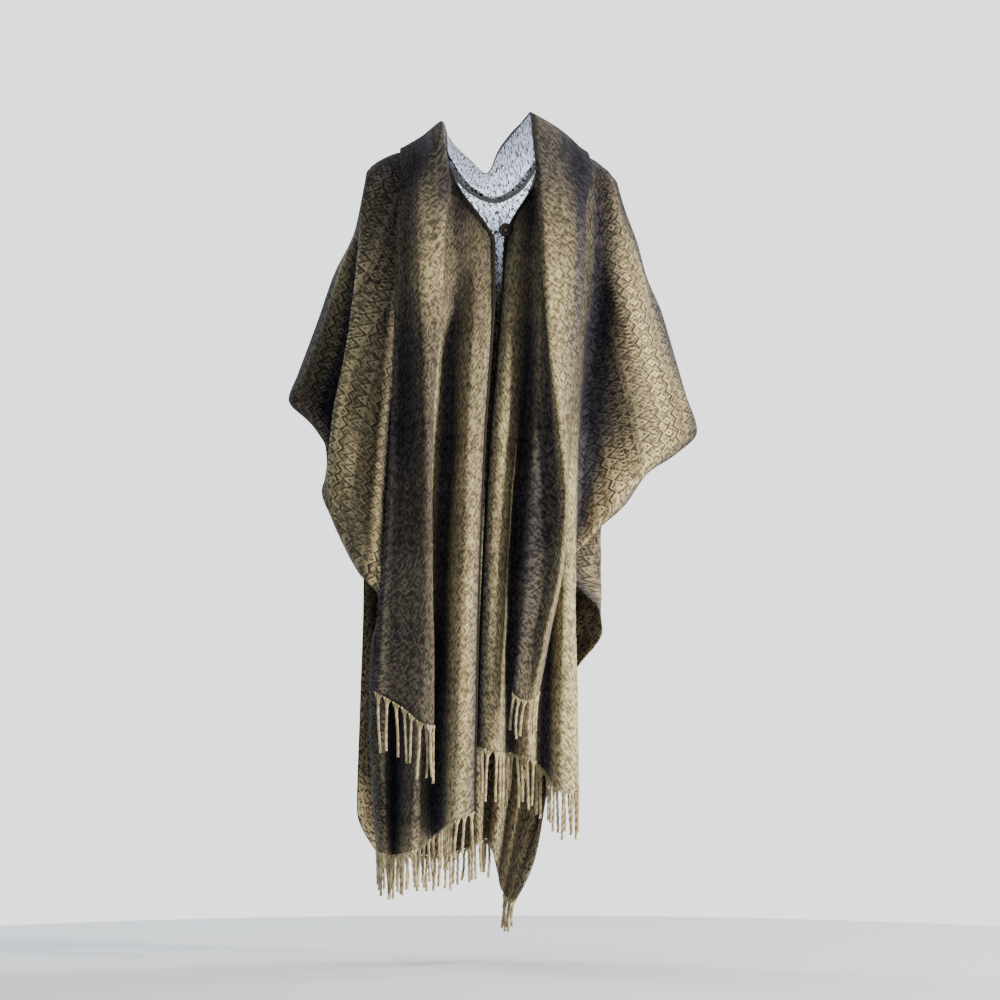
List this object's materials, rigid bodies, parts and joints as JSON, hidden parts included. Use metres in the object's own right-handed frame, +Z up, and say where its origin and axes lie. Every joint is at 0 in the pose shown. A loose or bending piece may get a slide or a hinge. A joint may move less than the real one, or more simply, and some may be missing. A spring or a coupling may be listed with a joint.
{
  "type": "open-front fringed blanket poncho with scarf collar",
  "caption": "Long open-front blanket poncho, filled out as worn, with wide side wings, a scarf sewn along the neckline, fringed hems and a button with a loop.",
  "frame": {"origin": "between the two shoulder crests, beside the neck and level with the top of the cloth there, where the wearer's shoulders carry the garment", "axes": "+Z up; -Y to the garment's front, where the two front edges meet; X across the shoulders, with -X at the left of someone who looks at the front"},
  "size_m": [0.6748, 0.3022, 1.3622],
  "materials": {
    "wool_cloth": "brushed blanket weave",
    "fringe_yarn": "twisted wool yarn",
    "edge_tape": "woven binding tape",
    "button_horn": "satin, horn look",
    "shank_thread": "wound sewing thread",
    "loop_cord": "covered elastic cord"
  },
  "bodies": {
    "root": {"front_left": "wool_cloth", "front_right": "wool_cloth", "back": "wool_cloth", "scarf_left": "wool_cloth", "scarf_right": "wool_cloth", "scarf_neck": "wool_cloth", "fringe_front_left": "fringe_yarn", "fringe_front_right": "fringe_yarn", "fringe_back": "fringe_yarn", "fringe_back_corner": "fringe_yarn", "fringe_scarf_left": "fringe_yarn", "fringe_scarf_right": "fringe_yarn", "edge_binding": "edge_tape", "button": "button_horn", "button_shank": "shank_thread", "button_loop": "loop_cord"}
  },
  "joints": []
}
